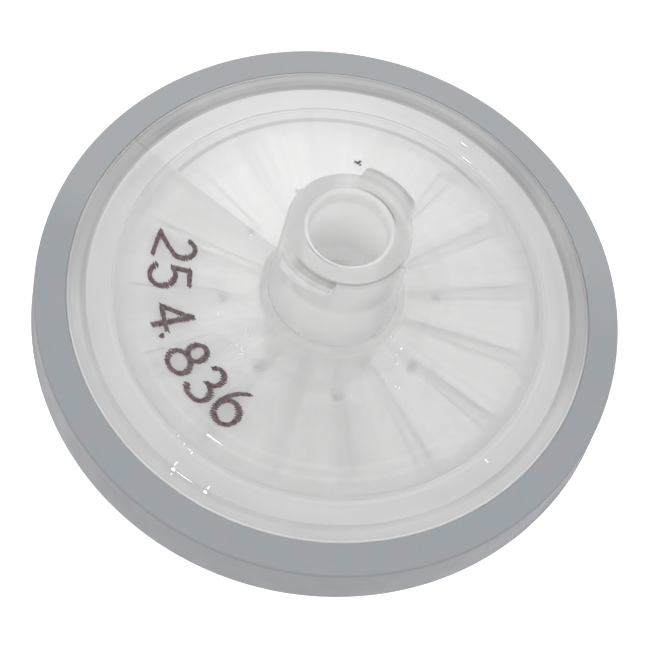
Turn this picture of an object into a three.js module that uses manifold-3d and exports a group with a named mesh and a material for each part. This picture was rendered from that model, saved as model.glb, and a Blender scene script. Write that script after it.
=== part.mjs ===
// Syringe filter: a flat round holder that pins a glass-fibre disc between two moulded halves, with a
// female luer inlet on one side and a male luer outlet on the other. A band of plastic moulded round
// the halves locks them together for good.
// Millimetres. +Z points out of the inlet, the origin is the centre of the inlet's rim, and +X runs
// through the middle of one locking lug.
import * as THREE from "three";
import { mergeVertices } from "three/addons/utils/BufferGeometryUtils.js";
import Module from "manifold-3d";

const wasm = await Module();
wasm.setup();

// ---------------------------------------------------------------- driving dimensions

const TURN_STEPS = 64; // facets round a turned form
const ROUND_STEPS = 3; // facets across a small round or fillet
const PIN_STEPS = 12; // facets round a pin

// The stack along the axis, from the inlet's side to the outlet's.
const HUB_HEIGHT = 7.1; // inlet plate's face up to the rim
const INLET_WALL = 1.0;
const RIB_HEIGHT = 0.3; // inlet ribs, and so the space over the disc
const DISC_THICKNESS = 0.4;
const DRAIN_DEPTH = 0.3;
const OUTLET_WALL = 0.8;
const OUTLET_BOSS_HEIGHT = 0.5;
const OUTLET_LENGTH = 7.5; // male luer beyond its boss

// The chain of radii, from the disc outwards.
const DISC_RADIUS = 13.7;
const DISC_CLEARANCE = 0.1; // round the disc's edge
const SEAL_WIDTH = 1.7; // margin of the disc that the halves pinch
const WELD_LAND = 1.9; // where the halves meet, outside the disc
const BAND_WALL = 0.85; // band outside the halves, at its top
const BAND_DRAFT = 0.3; // how much wider the band is at its shoulder
const BAND_OVERLAP = 0.9; // how far each lip reaches in over the halves
const BAND_LIP = 0.45; // thickness of each lip
const BAND_STAND = 0.25; // each band face above the plate it frames
const BAND_TOP_ROUND = 0.25;
const BAND_FOOT_ROUND = 0.5;

// The plates' faces.
const BEVEL_WIDTH = 1.1; // margin that rises to the band
const BEVEL_RISE = 0.2;
const LINE_OFFSET = 0.3; // fine groove outside the wetted area
const LINE_WIDTH = 0.16;
const LINE_DEPTH = 0.08;

// The inlet's hub and luer socket.
const RIM_RADIUS = 3.33;
const RIM_ROUND = 0.15;
const HUB_SPREAD = 0.33; // how much wider the hub is at its foot
const HUB_FILLET = 0.5;
const SOCKET_RADIUS = 2.15; // at the mouth
const SOCKET_DEPTH = 5.6;
const SOCKET_ROUND = 0.35;
const LUER_TAPER = 0.03; // change of radius for each millimetre, on both luers
const FEED_RADIUS = 1.1;
const FEED_FLARE_RADIUS = 2.6;
const FEED_FLARE_HEIGHT = 1.2;

// The two locking lugs and the fins where the hub's side moulds part.
const LUG_REACH = 0.62; // beyond the rim
const LUG_START = -34.5; // degrees from the middle of the lug's outer edge
const LUG_END = 30;
const LUG_RUN_IN = 18; // degrees over which the thick end comes out of the rim
const LUG_RUN_OUT = 5; // degrees over which the thin end goes back in
const LUG_THICKNESS = 0.55; // at the thin end
const LUG_LEAD = 5; // rise of the thread in one turn
const LUG_SLOPE = 0.35; // how much deeper a lug is where it leaves the hub
const LUG_STEPS = 12;
const FIN_REACH = 0.25;
const FIN_WIDTH = 0.2;
const FIN_HEIGHT = 1.6;

// The ribs that hold the disc off the inlet plate.
const RIB_COUNT = 16;
const RIB_ANGLE = 8; // degrees
const RIB_START_RADIUS = 4.4;
const COLLECTOR_WIDTH = 0.8; // open channel outside the ribs
const PIN_CIRCLE_RADIUS = 6.15; // every second rib starts at a pin on this circle
const PIN_RADIUS = 0.4;

// The outlet's drain and luer.
const DRAIN_RINGS = 6;
const DRAIN_RIDGE = 0.5;
const DRAIN_CHANNELS = 8;
const DRAIN_CHANNEL_WIDTH = 0.9;
const SUMP_RADIUS = 2.0;
const SUMP_DEPTH = 0.7;
const OUTLET_BORE_RADIUS = 1.0;
const OUTLET_TIP_RADIUS = 1.98;
const OUTLET_TIP_CHAMFER = 0.2;
const OUTLET_BOSS_RADIUS = 3.0;
const OUTLET_FILLET = 0.3;

const BURY = 0.2; // how far a joined form reaches into what carries it

// ---------------------------------------------------------------- places worked out from them

const discClearRadius = DISC_RADIUS + DISC_CLEARANCE;
const wettedRadius = DISC_RADIUS - SEAL_WIDTH;
const halvesRadius = discClearRadius + WELD_LAND;
const lipRadius = halvesRadius - BAND_OVERLAP;
const bevelRadius = lipRadius - BEVEL_WIDTH;
const lineRadius = wettedRadius + LINE_OFFSET;
const hubFootRadius = RIM_RADIUS + HUB_SPREAD;
const bandTopRadius = halvesRadius + BAND_WALL;
const bandFootRadius = bandTopRadius + BAND_DRAFT;

const rimZ = 0;
const inletFaceZ = rimZ - HUB_HEIGHT;
const inletRoofZ = inletFaceZ - INLET_WALL;
const discTopZ = inletRoofZ - RIB_HEIGHT;
const discBottomZ = discTopZ - DISC_THICKNESS;
const drainFloorZ = discBottomZ - DRAIN_DEPTH;
const outletFaceZ = drainFloorZ - OUTLET_WALL;
const outletBossZ = outletFaceZ - OUTLET_BOSS_HEIGHT;
const outletTipZ = outletBossZ - OUTLET_LENGTH;
const bandTopZ = inletFaceZ + BAND_STAND;
const bandBottomZ = outletFaceZ - BAND_STAND;
const upperLipZ = bandTopZ - BAND_LIP;
const lowerLipZ = bandBottomZ + BAND_LIP;

// ---------------------------------------------------------------- materials

const housingPlastic = () =>
  new THREE.MeshStandardMaterial({ color: 0xdfe1e1, roughness: 0.28, metalness: 0 });
const bandPlastic = () =>
  new THREE.MeshStandardMaterial({ color: 0xa1a5aa, roughness: 0.35, metalness: 0 });
const glassFibre = () =>
  new THREE.MeshStandardMaterial({ color: 0xf4f4f1, roughness: 0.95, metalness: 0 });

// ---------------------------------------------------------------- geometry helpers

// Points of an arc in a profile, as radius and height, from one angle to another in degrees.
function arc(centreRadius, centreZ, radius, fromAngle, toAngle, steps = ROUND_STEPS) {
  return Array.from({ length: steps + 1 }, (_, step) => {
    const angle = THREE.MathUtils.degToRad(fromAngle + ((toAngle - fromAngle) * step) / steps);
    return [centreRadius + radius * Math.cos(angle), centreZ + radius * Math.sin(angle)];
  });
}

// A solid of revolution about Z. The profile runs anticlockwise round the material and closes itself.
function turned(profile) {
  const points = [...profile, profile[0]].map(([radius, z]) => new THREE.Vector2(radius, z));
  return new THREE.LatheGeometry(points, TURN_STEPS).rotateX(Math.PI / 2);
}

function solidOf(geometry) {
  const bare = geometry.clone();
  bare.deleteAttribute("normal");
  bare.deleteAttribute("uv");
  const merged = mergeVertices(bare);
  return new wasm.Manifold(
    new wasm.Mesh({
      numProp: 3,
      vertProperties: new Float32Array(merged.attributes.position.array),
      triVerts: new Uint32Array(merged.index.array),
    }),
  );
}

function geometryOf(solid) {
  const { vertProperties, triVerts } = solid.getMesh();
  const geometry = new THREE.BufferGeometry();
  geometry.setAttribute("position", new THREE.BufferAttribute(vertProperties, 3));
  geometry.setIndex(new THREE.BufferAttribute(triVerts, 1));
  geometry.computeVertexNormals();
  return geometry;
}

// Copies of a form at equal angles about Z.
function around(count, formAt) {
  return Array.from({ length: count }, (_, index) =>
    formAt(index).rotateZ((2 * Math.PI * index) / count),
  );
}

const join = (base, forms) => forms.reduce((sum, form) => sum.add(solidOf(form)), base);
const cut = (base, forms) => forms.reduce((rest, form) => rest.subtract(solidOf(form)), base);

function subPart(name, geometry, material) {
  const mesh = new THREE.Mesh(geometry, material);
  mesh.name = name;
  return mesh;
}

// ---------------------------------------------------------------- inlet half

// The outer face of the inlet half, from the edge that the band covers up to the rim.
function inletFaceProfile() {
  return [
    [halvesRadius, upperLipZ],
    [lipRadius, upperLipZ],
    [lipRadius, inletFaceZ + BEVEL_RISE],
    [bevelRadius, inletFaceZ],
    [lineRadius + LINE_WIDTH / 2, inletFaceZ],
    [lineRadius, inletFaceZ - LINE_DEPTH],
    [lineRadius - LINE_WIDTH / 2, inletFaceZ],
    ...arc(hubFootRadius + HUB_FILLET, inletFaceZ + HUB_FILLET, HUB_FILLET, 270, 180),
    ...arc(RIM_RADIUS - RIM_ROUND, rimZ - RIM_ROUND, RIM_ROUND, 0, 90),
  ];
}

// The luer socket, its floor and the feed hole that opens out over the disc.
function socketProfile() {
  const socketFloorZ = rimZ - SOCKET_DEPTH;
  const socketFloorRadius = SOCKET_RADIUS - LUER_TAPER * SOCKET_DEPTH;
  return [
    ...arc(SOCKET_RADIUS + SOCKET_ROUND, rimZ - SOCKET_ROUND, SOCKET_ROUND, 90, 180),
    [socketFloorRadius, socketFloorZ],
    [FEED_RADIUS, socketFloorZ],
    [FEED_RADIUS, inletRoofZ + FEED_FLARE_HEIGHT],
    [FEED_FLARE_RADIUS, inletRoofZ],
  ];
}

function inletBody() {
  return turned([
    [wettedRadius, inletRoofZ],
    [wettedRadius, discTopZ],
    [halvesRadius, discTopZ],
    ...inletFaceProfile(),
    ...socketProfile(),
  ]);
}

// How far a lug stands out of the rim: it curves out at its thick end and back in at its thin end.
function lugReach(degrees) {
  const share = (distance, run) => Math.sin((Math.PI / 2) * Math.min(1, distance / run));
  return LUG_REACH * share(degrees - LUG_START, LUG_RUN_IN) * share(LUG_END - degrees, LUG_RUN_OUT);
}

// A locking lug: a stretch of coarse thread, flush with the rim, whose underside climbs with the lead.
function lug() {
  const innerRadius = RIM_RADIUS - BURY;
  const positions = [];
  const section = (step) => {
    const degrees = LUG_START + ((LUG_END - LUG_START) * step) / LUG_STEPS;
    const angle = THREE.MathUtils.degToRad(degrees);
    const outerRadius = RIM_RADIUS + lugReach(degrees);
    const underZ = rimZ - LUG_THICKNESS - (LUG_LEAD * (LUG_END - degrees)) / 360;
    const corners = [
      [innerRadius, rimZ - RIM_ROUND],
      [innerRadius, underZ - LUG_SLOPE],
      [outerRadius, underZ],
      [outerRadius, rimZ - RIM_ROUND],
      [outerRadius - RIM_ROUND, rimZ],
      [innerRadius, rimZ],
    ];
    return corners.map(([radius, z]) => [radius * Math.cos(angle), radius * Math.sin(angle), z]);
  };
  const triangle = (a, b, c) => positions.push(...a, ...b, ...c);
  for (let step = 0; step < LUG_STEPS; step++) {
    const near = section(step);
    const far = section(step + 1);
    near.forEach((corner, index) => {
      const next = (index + 1) % near.length;
      triangle(corner, far[index], far[next]);
      triangle(corner, far[next], near[next]);
    });
  }
  const first = section(0);
  const last = section(LUG_STEPS);
  for (let index = 1; index < first.length - 1; index++) {
    triangle(first[0], first[index], first[index + 1]);
    triangle(last[0], last[index + 1], last[index]);
  }
  const geometry = new THREE.BufferGeometry();
  geometry.setAttribute("position", new THREE.Float32BufferAttribute(positions, 3));
  return geometry;
}

// A fin of flash at the rim, on the line where the hub's side moulds part.
function fin() {
  const outline = new THREE.Shape([
    new THREE.Vector2(RIM_RADIUS - BURY, 0),
    new THREE.Vector2(RIM_RADIUS - BURY, -FIN_HEIGHT),
    new THREE.Vector2(RIM_RADIUS, -FIN_HEIGHT),
    new THREE.Vector2(RIM_RADIUS + FIN_REACH, -RIM_ROUND),
    new THREE.Vector2(RIM_RADIUS + FIN_REACH - RIM_ROUND, 0),
  ]);
  return new THREE.ExtrudeGeometry(outline, { depth: FIN_WIDTH, bevelEnabled: false })
    .translate(0, rimZ, -FIN_WIDTH / 2)
    .rotateX(Math.PI / 2)
    .rotateZ(Math.PI / 2);
}

// A wedge-shaped rib under the inlet plate. Every second one starts at a round pin.
function rib(index) {
  const startsAtPin = index % 2 === 0;
  const half = THREE.MathUtils.degToRad(RIB_ANGLE / 2);
  const start = startsAtPin ? PIN_CIRCLE_RADIUS : RIB_START_RADIUS;
  const end = wettedRadius - COLLECTOR_WIDTH;
  const outline = new THREE.Shape()
    .moveTo(start * Math.cos(half), -start * Math.sin(half))
    .lineTo(end * Math.cos(half), -end * Math.sin(half))
    .absarc(0, 0, end, -half, half, false)
    .lineTo(start * Math.cos(half), start * Math.sin(half));
  return new THREE.ExtrudeGeometry(outline, {
    depth: RIB_HEIGHT + BURY,
    bevelEnabled: false,
    curveSegments: ROUND_STEPS,
  }).translate(0, 0, discTopZ);
}

function pin() {
  return new THREE.CylinderGeometry(PIN_RADIUS, PIN_RADIUS, RIB_HEIGHT + BURY, PIN_STEPS)
    .rotateX(Math.PI / 2)
    .translate(PIN_CIRCLE_RADIUS, 0, discTopZ + (RIB_HEIGHT + BURY) / 2);
}

function inletHousing() {
  const forms = [
    ...around(2, lug),
    ...around(2, fin),
    ...around(RIB_COUNT, rib),
    ...around(RIB_COUNT / 2, pin),
  ];
  return geometryOf(join(solidOf(inletBody()), forms));
}

// ---------------------------------------------------------------- outlet half

// The concentric grooves that drain the disc, from the seal in to the sump.
function drainProfile() {
  const pitch = (wettedRadius - SUMP_RADIUS - DRAIN_RIDGE) / DRAIN_RINGS;
  return Array.from({ length: DRAIN_RINGS }, (_, index) => {
    const outer = wettedRadius - index * pitch;
    const inner = outer - pitch + DRAIN_RIDGE;
    return [
      [outer, discBottomZ],
      [outer, drainFloorZ],
      [inner, drainFloorZ],
      [inner, discBottomZ],
    ];
  }).flat();
}

// The male luer, from its bore out over the tip and up to the plate.
function outletLuerProfile() {
  const luerRootRadius = OUTLET_TIP_RADIUS + LUER_TAPER * OUTLET_LENGTH;
  return [
    [OUTLET_BORE_RADIUS, outletTipZ],
    [OUTLET_TIP_RADIUS - OUTLET_TIP_CHAMFER, outletTipZ],
    [OUTLET_TIP_RADIUS, outletTipZ + OUTLET_TIP_CHAMFER],
    [luerRootRadius, outletBossZ],
    ...arc(OUTLET_BOSS_RADIUS - RIM_ROUND, outletBossZ + RIM_ROUND, RIM_ROUND, -90, 0),
    ...arc(OUTLET_BOSS_RADIUS + OUTLET_FILLET, outletFaceZ - OUTLET_FILLET, OUTLET_FILLET, 180, 90),
  ];
}

function outletBody() {
  return turned([
    ...outletLuerProfile(),
    [bevelRadius, outletFaceZ],
    [lipRadius, outletFaceZ - BEVEL_RISE],
    [lipRadius, lowerLipZ],
    [halvesRadius, lowerLipZ],
    [halvesRadius, discTopZ],
    [discClearRadius, discTopZ],
    [discClearRadius, discBottomZ],
    ...drainProfile(),
    [SUMP_RADIUS, discBottomZ],
    [OUTLET_BORE_RADIUS, discBottomZ - SUMP_DEPTH],
  ]);
}

// A straight channel that carries what the grooves gather in to the sump.
function drainChannel() {
  const start = OUTLET_BORE_RADIUS;
  const length = wettedRadius - start;
  const height = DRAIN_DEPTH + BURY;
  return new THREE.BoxGeometry(length, DRAIN_CHANNEL_WIDTH, height).translate(
    start + length / 2,
    0,
    drainFloorZ + height / 2,
  );
}

function outletHousing() {
  return geometryOf(cut(solidOf(outletBody()), around(DRAIN_CHANNELS, drainChannel)));
}

// ---------------------------------------------------------------- disc and band

function filterDisc() {
  return new THREE.CylinderGeometry(DISC_RADIUS, DISC_RADIUS, DISC_THICKNESS, TURN_STEPS)
    .rotateX(Math.PI / 2)
    .translate(0, 0, (discTopZ + discBottomZ) / 2);
}

// The band is a C in section, whose lips close over the edges of both halves.
function overmouldBand() {
  return turned([
    [lipRadius, bandBottomZ],
    ...arc(bandFootRadius - BAND_FOOT_ROUND, bandBottomZ + BAND_FOOT_ROUND, BAND_FOOT_ROUND, -90, 0),
    ...arc(bandTopRadius - BAND_TOP_ROUND, bandTopZ - BAND_TOP_ROUND, BAND_TOP_ROUND, 0, 90),
    [lipRadius, bandTopZ],
    [lipRadius, upperLipZ],
    [halvesRadius, upperLipZ],
    [halvesRadius, lowerLipZ],
    [lipRadius, lowerLipZ],
  ]);
}

// ---------------------------------------------------------------- assembly

const syringeFilter = new THREE.Group();
syringeFilter.add(
  subPart("inlet_housing", inletHousing(), housingPlastic()),
  subPart("outlet_housing", outletHousing(), housingPlastic()),
  subPart("filter_disc", filterDisc(), glassFibre()),
  subPart("overmould_band", overmouldBand(), bandPlastic()),
);

export default syringeFilter;
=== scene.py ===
import math
import random

import bpy
import numpy as np
from bpy.props import (
    FloatProperty, FloatVectorProperty, IntProperty, PointerProperty, StringProperty
)
from mathutils import Matrix, Vector


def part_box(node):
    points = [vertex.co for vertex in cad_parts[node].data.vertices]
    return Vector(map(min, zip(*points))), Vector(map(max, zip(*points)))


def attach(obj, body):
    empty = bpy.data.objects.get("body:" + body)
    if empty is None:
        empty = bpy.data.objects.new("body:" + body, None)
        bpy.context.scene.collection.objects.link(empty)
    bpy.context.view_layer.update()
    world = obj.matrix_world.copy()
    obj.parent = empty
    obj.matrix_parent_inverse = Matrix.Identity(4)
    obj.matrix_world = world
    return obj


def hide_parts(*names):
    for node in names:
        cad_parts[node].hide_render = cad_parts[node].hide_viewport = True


bl_info = {
    "name": "Syringe Filter",
    "version": (1, 0, 0),
    "blender": (4, 5, 0),
    "location": "3D View > Sidebar > Filter",
    "description": "Finishes a syringe filter: clear halves, glass-fibre disc, band and print",
    "category": "Add Mesh",
}

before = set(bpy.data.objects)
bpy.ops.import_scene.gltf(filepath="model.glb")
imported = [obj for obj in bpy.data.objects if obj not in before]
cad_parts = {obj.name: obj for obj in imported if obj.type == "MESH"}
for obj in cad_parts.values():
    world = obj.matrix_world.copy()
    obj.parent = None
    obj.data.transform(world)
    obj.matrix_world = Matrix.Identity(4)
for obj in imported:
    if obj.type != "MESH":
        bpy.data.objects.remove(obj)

MM = 0.001
INLET_LOW, INLET_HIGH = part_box("inlet_housing")
OUTLET_LOW, OUTLET_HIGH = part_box("outlet_housing")
DISC_LOW, DISC_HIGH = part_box("filter_disc")
BAND_LOW, BAND_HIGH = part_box("overmould_band")
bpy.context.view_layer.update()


# ---------------------------------------------------------------- settings


def number(name, value, description, **more):
    return FloatProperty(name=name, description=description, default=value, **more)


def length(name, millimetres, description):
    return number(name, millimetres * MM, description, min=0, unit="LENGTH", precision=5)


def share(name, value, description):
    return number(name, value, description, min=0, max=1, subtype="FACTOR")


def level(name, value, description):
    return number(name, value, description, min=0)


def degrees(name, value, description):
    return number(name, math.radians(value), description, unit="ROTATION")


def count(name, value, description):
    return IntProperty(name=name, description=description, default=value, min=1)


def colour(name, value, description):
    return FloatVectorProperty(
        name=name, description=description, default=value, size=3, min=0, max=1, subtype="COLOR"
    )


class FILTER_PG_inlet(bpy.types.PropertyGroup):
    gap: length("Gap", 0.01, "Space left between this half and what it touches")
    wall: length("Plate wall", 1.0, "Thickness of the inlet plate")
    face_drop: length("Face drop", 0.25, "How far the plate's face lies under the band's")
    lip_overlap: length("Lip overlap", 0.9, "How far the band's lip reaches in over the edge")
    lip_sink: length("Lip sink", 0.45, "Thickness of the band's lip")
    bevel_width: length("Bevel width", 1.1, "Margin of the face that rises to the band")
    bevel_rise: length("Bevel rise", 0.24, "How far that margin rises")
    crest_round: length("Crest round", 0.012, "Rounded edge of that margin beside the band")
    seal_width: length("Seal width", 1.7, "Margin of the disc that the halves pinch")
    line_offset: length("Line offset", 0.3, "Fine groove's place outside the wetted area")
    line_width: length("Line width", 0.14, "Width of the fine groove")
    line_depth: length("Line depth", 0.03, "Depth of the fine groove")
    hub_spread: length("Hub spread", 0.33, "How much wider the hub is at its foot")
    hub_fillet: length("Hub fillet", 0.5, "Fillet between the hub and the plate")
    rim_radius: length("Rim radius", 3.33, "Outer radius of the hub's rim")
    rim_round: length("Rim round", 0.15, "Rounded edge of the rim")
    mouth_radius: length("Mouth radius", 2.15, "Radius of the luer socket at its mouth")
    mouth_round: length("Mouth round", 0.35, "Rounded entry of the socket")
    socket_depth: length("Socket depth", 5.6, "Depth of the luer socket")
    taper: number("Luer taper", 0.03, "Change of radius for each length")
    feed_radius: length("Feed radius", 1.1, "Hole from the socket to the disc")
    flare_radius: length("Flare radius", 2.6, "Where that hole opens over the disc")
    flare_height: length("Flare height", 1.2, "Height of that opening")
    rib_count: count("Ribs", 16, "Ribs over the disc")
    rib_angle: degrees("Rib angle", 8, "Width of each wedge-shaped rib")
    rib_start: length("Rib start", 4.4, "Where the long ribs start")
    collector_width: length("Collector width", 0.8, "Open channel outside the ribs")
    pin_circle: length("Pin circle", 6.15, "Radius of the circle of pins")
    pin_radius: length("Pin radius", 0.4, "Radius of each pin")


class FILTER_PG_lugs(bpy.types.PropertyGroup):
    reach: length("Reach", 0.62, "How far the locking lugs stand out of the rim")
    start: degrees("Start", -34.5, "Where the thick end comes out of the rim")
    end: degrees("End", 30, "Where the thin end goes back in")
    run_in: degrees("Run in", 18, "Angle over which the thick end comes out")
    run_out: degrees("Run out", 5, "Angle over which the thin end goes back in")
    thickness: length("Thickness", 0.55, "Height of the lug at its thin end")
    lead: length("Lead", 5.0, "Rise of the lug's underside in one turn")
    slope: length("Slope", 0.35, "How much deeper a lug is where it leaves the hub")
    fin_turn: degrees("Fin turn", 94, "Where the mould parts, and leaves fins of flash")
    fin_reach: length("Fin reach", 0.25, "How far the fins of flash stand out")
    fin_width: degrees("Fin width", 3.4, "Width of each fin of flash")
    fin_height: length("Fin height", 1.6, "Height of each fin of flash")


class FILTER_PG_outlet(bpy.types.PropertyGroup):
    steps: count("Steps", 384, "Points round the moulding")
    wall: length("Plate wall", 0.8, "Thickness of the outlet plate under the drain")
    drain_depth: length("Drain depth", 0.3, "Depth of the drain grooves")
    drain_rings: count("Drain rings", 6, "Concentric drain grooves")
    drain_ridge: length("Drain ridge", 0.5, "Width of the ridge between two grooves")
    channels: count("Channels", 8, "Straight drain channels")
    channel_width: length("Channel width", 0.9, "Width of each straight channel")
    sump_radius: length("Sump radius", 2.0, "Mouth of the funnel at the middle")
    sump_depth: length("Sump depth", 0.7, "Depth of the funnel at the middle")
    bore_radius: length("Bore radius", 1.0, "Bore of the outlet")
    tip_radius: length("Tip radius", 1.98, "Outer radius of the luer at its tip")
    tip_chamfer: length("Tip chamfer", 0.2, "Chamfered end of the luer")
    boss_radius: length("Boss radius", 3.0, "Radius of the boss that carries the luer")
    boss_height: length("Boss height", 0.5, "Height of that boss")
    boss_round: length("Boss round", 0.15, "Rounded edge of the boss")
    boss_fillet: length("Boss fillet", 0.3, "Fillet between the boss and the plate")
    seat_clearance: length("Seat clearance", 0.1, "Space round the disc's edge")


class FILTER_PG_band(bpy.types.PropertyGroup):
    steps: count("Steps", 384, "Points round the band")
    draft: length("Draft", 0.3, "How much wider the band is at its shoulder")
    top_round: length("Top round", 0.25, "Rounded upper edge")
    foot_round: length("Foot round", 0.5, "Rounded lower edge")
    lip_round: length("Lip round", 0.012, "Rounded edge of each lip")
    colour: colour("Band colour", (0.246, 0.286, 0.306), "Grey of the moulded band")
    tint: colour("Band tint", (0.283, 0.281, 0.302), "Mauve that clouds that grey")
    # Painted sheen: a paler colour laid over one side of the band.
    bloom: colour("Band bloom", (0.383, 0.382, 0.392), "Pale bloom on one side of the band")
    # The wall's grey is darker than the band's own: painted shade.
    wall: colour("Band wall colour", (0.23, 0.236, 0.254), "Grey of the band's wall")
    roughness: share("Band roughness", 0.42, "Roughness of the band")


class FILTER_PG_plastic(bpy.types.PropertyGroup):
    colour: colour("Plastic colour", (0.99, 0.988, 0.985), "Natural polypropylene")
    margin: colour("Margin colour", (0.631, 0.63, 0.64), "The same plastic over the grey band")
    scatter: length("Scatter", 0.8, "How far light wanders inside the plastic")
    clearness: share("Clearness", 0.6, "Share of the light that passes straight through the plates")
    margin_clearness: share("Margin clearness", 0.3, "The same share for the plastic over the band")
    seal_clearness: share("Seal clearness", 0.53, "The same share over the disc's pinched margin")
    hub_clearness: share("Hub clearness", 0.52, "The same share for the hub")
    bore_clearness: share("Bore clearness", 0.3, "The same share inside the hub")
    bore_scatter: length("Bore scatter", 1.9, "How far light wanders in the hub's wall")
    roughness: share("Roughness", 0.1, "Roughness of the plates")
    hub_roughness: share("Hub roughness", 0.36, "Roughness of the hub")
    gloss: share("Gloss", 0.02, "Roughness of the glossy skin")
    index: number("Index", 1.3, "Index of refraction of the plates", min=1)
    hub_index: number("Hub index", 1.1, "Index of refraction of the hub", min=1)


class FILTER_PG_disc(bpy.types.PropertyGroup):
    steps: count("Steps", 192, "Points round the disc")
    round: length("Round", 0.1, "Rounded edge of the disc")
    colour: colour("Fibre colour", (0.97, 0.97, 0.965), "White glass fibre")


class FILTER_PG_print(bpy.types.PropertyGroup):
    figures: StringProperty(
        name="Figures", description="Plain figures of the print", default="25 4.836"
    )
    top: length("Top", 8.05, "Radius at the top of the figures")
    foot: length("Foot", 10.3, "Radius at the foot of the figures")
    start: degrees("Start", 113.5, "Where the first figure starts")
    advance: degrees("Advance", 11.6, "From one figure to the next")
    dot: length("Dot", 0.11, "Half the length of a dot of ink")
    pitch: length("Pitch", 0.14, "From one row of dots to the next along a stroke")
    stroke: length("Stroke", 0.5, "Length of the slanting dashes that make a stroke")
    dash: length("Dash", 0.052, "Half the width of a dash")
    thickness: length("Thickness", 0.012, "Thickness of the ink")
    colour: colour("Ink colour", (0.052, 0.036, 0.039), "Dark brown ink")


class FILTER_PG_stage(bpy.types.PropertyGroup):
    eye_distance: length("Eye distance", 73.93, "From the point looked at to the camera")
    eye_azimuth: degrees("Eye azimuth", -152.5, "Direction of the camera round the filter")
    eye_elevation: degrees("Eye elevation", 63.22, "Height of the camera over the plate")
    eye_roll: degrees("Eye roll", 15.77, "Turn of the camera about its own axis")
    lens: number("Lens", 73.79, "Focal length", min=1, unit="CAMERA")
    aim_right: length("Aim right", 0.13, "Point looked at, to the right of the axis")
    aim_near: length("Aim near", 2.37, "Point looked at, nearer than the axis")
    world_level: level("World level", 1.17, "Light from all round")
    floor_reach: length("Floor reach", 1500, "Half the width of the table")
    floor_glow: level("Floor glow", 0.4, "Whiteness of the table where it is seen")
    panel_distance: length("Panel distance", 900, "From the filter to the screen")
    panel_rise: degrees("Panel rise", 58, "Height of the screen's middle")
    panel_half: number("Panel half", 0.5, "Half the screen's width to its distance")
    lamp_level: level("Lamp level", 3.5, "Brightness of the soft lamp on the screen")
    lamp_across: number("Lamp across", -0.045, "Place of the soft lamp to the right")
    lamp_up: number("Lamp up", -0.006, "Place of the soft lamp upwards")
    lamp_wide: number("Lamp width", 0.077, "Spread of the soft lamp to both sides")
    lamp_tall: number("Lamp height", 0.078, "Spread of the soft lamp up and down")
    spark_level: level("Spark level", 80, "Brightness of the small lamp")
    spark_size: length("Spark size", 30, "Width of the small lamp")
    spark_distance: length("Spark distance", 800, "From the filter to the small lamp")
    spark_azimuth: degrees("Spark azimuth", 164.5, "Direction of the small lamp")
    spark_elevation: degrees("Spark elevation", 59, "Height of the small lamp")


# ---------------------------------------------------------------- profiles and meshes


SAME = 1e-7  # heights closer together than this, in metres, are one height
SHARP_ANGLE = 32  # degrees between faces from which their edge is sharp


def arc(centre_radius, centre_height, radius, start, end, steps):
    """Points of a rounded edge, from one direction in degrees to another."""
    return [(centre_radius + radius * math.cos(a), centre_height + radius * math.sin(a))
            for a in np.radians(np.linspace(start, end, steps + 1))]


def line(start, end, pieces):
    """Points after start, up to and with end."""
    return [tuple(a + (b - a) * i / pieces for a, b in zip(start, end))
            for i in range(1, pieces + 1)]


def ramp(value, low, high):
    """A smooth step from 0 at low to 1 at high."""
    t = np.clip((value - low) / (high - low), 0, 1)
    return t * t * (3 - 2 * t)


def even_angles(steps):
    return np.linspace(0, 2 * math.pi, steps, endpoint=False)


def wetted_radius(inlet):
    """Radius of the disc inside the margin that the halves pinch."""
    return DISC_HIGH.x - inlet.seal_width


def turned(name, profile, angles, shape=None):
    """A closed skin made by turning a closed profile of (radius, height) about Z."""
    angle = angles[None, :]
    radius = np.array([p[0] for p in profile])[:, None] + 0 * angle
    height = np.array([p[1] for p in profile])[:, None] + 0 * angle
    if shape:
        radius, height = shape(radius, height, angle + 0 * radius)
    points = np.stack([radius * np.cos(angle), radius * np.sin(angle), height], -1).reshape(-1, 3)
    rings, steps = len(profile), len(angles)
    ring = np.arange(rings)[:, None] * steps
    next_ring = (np.arange(rings)[:, None] + 1) % rings * steps
    step = np.arange(steps)[None, :]
    next_step = (step + 1) % steps
    quads = np.stack([ring + step, ring + next_step, next_ring + next_step, next_ring + step], -1)
    return mesh_object(name, points.tolist(), quads.reshape(-1, 4).tolist())


def mesh_object(name, points, faces):
    mesh = bpy.data.meshes.new(name)
    mesh.from_pydata(points, [], faces)
    mesh.update()
    mesh.shade_smooth()
    mesh.set_sharp_from_angle(angle=math.radians(SHARP_ANGLE))
    piece = bpy.data.objects.new(name, mesh)
    bpy.context.scene.collection.objects.link(piece)
    return piece


def finish_piece(piece, materials, slot, *nodes):
    for material in materials:
        piece.data.materials.append(material)
    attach(piece, "root")
    if nodes:
        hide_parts(*nodes)
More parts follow.
